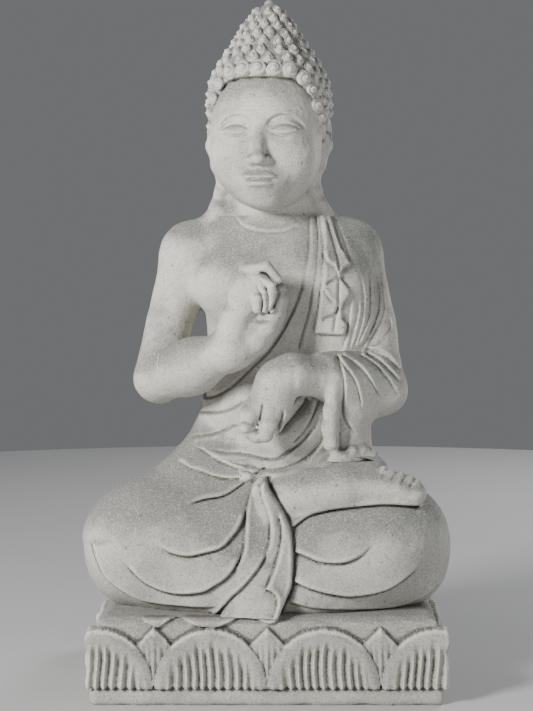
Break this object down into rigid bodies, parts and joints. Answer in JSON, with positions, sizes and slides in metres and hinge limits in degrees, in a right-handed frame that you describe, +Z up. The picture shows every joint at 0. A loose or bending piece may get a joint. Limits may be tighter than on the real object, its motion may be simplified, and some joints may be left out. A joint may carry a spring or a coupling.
{
  "type": "buddha statue",
  "caption": "Seated robed figure with raised right hand, coiled hair and topknot, on a lotus-petal plinth; carved stone blocks pinned with dowels and bedded in mortar.",
  "frame": {"origin": "middle of the statue's box at the flat underside of the foot slab", "axes": "+Z up, the statue faces -Y, and +X is towards the statue's own left hand"},
  "size_m": [0.5266, 0.35, 1],
  "materials": {
    "figure_stone": "fine-grained grey volcanic stone, rubbed smooth, with paler dust on its raised parts",
    "plinth_stone": "fine-grained grey volcanic stone with chisel marks in its flutes",
    "mortar": "fine lime mortar",
    "dowel_steel": "plain round stainless bar"
  },
  "bodies": {
    "root": {"foot_slab": "plinth_stone", "lotus_plinth": "plinth_stone", "lap_block": "figure_stone", "torso_block": "figure_stone", "right_forearm": "figure_stone", "left_forearm": "figure_stone", "head_block": "figure_stone", "topknot": "figure_stone", "slab_mortar_bed": "mortar", "plinth_mortar_bed": "mortar", "waist_mortar_bed": "mortar", "neck_mortar_bed": "mortar", "topknot_mortar_bed": "mortar", "right_elbow_mortar_bed": "mortar", "left_elbow_mortar_bed": "mortar", "slab_dowels": "dowel_steel", "plinth_dowels": "dowel_steel", "waist_dowels": "dowel_steel", "neck_dowel": "dowel_steel", "topknot_dowel": "dowel_steel", "right_elbow_dowel": "dowel_steel", "left_elbow_dowel": "dowel_steel"}
  },
  "joints": []
}
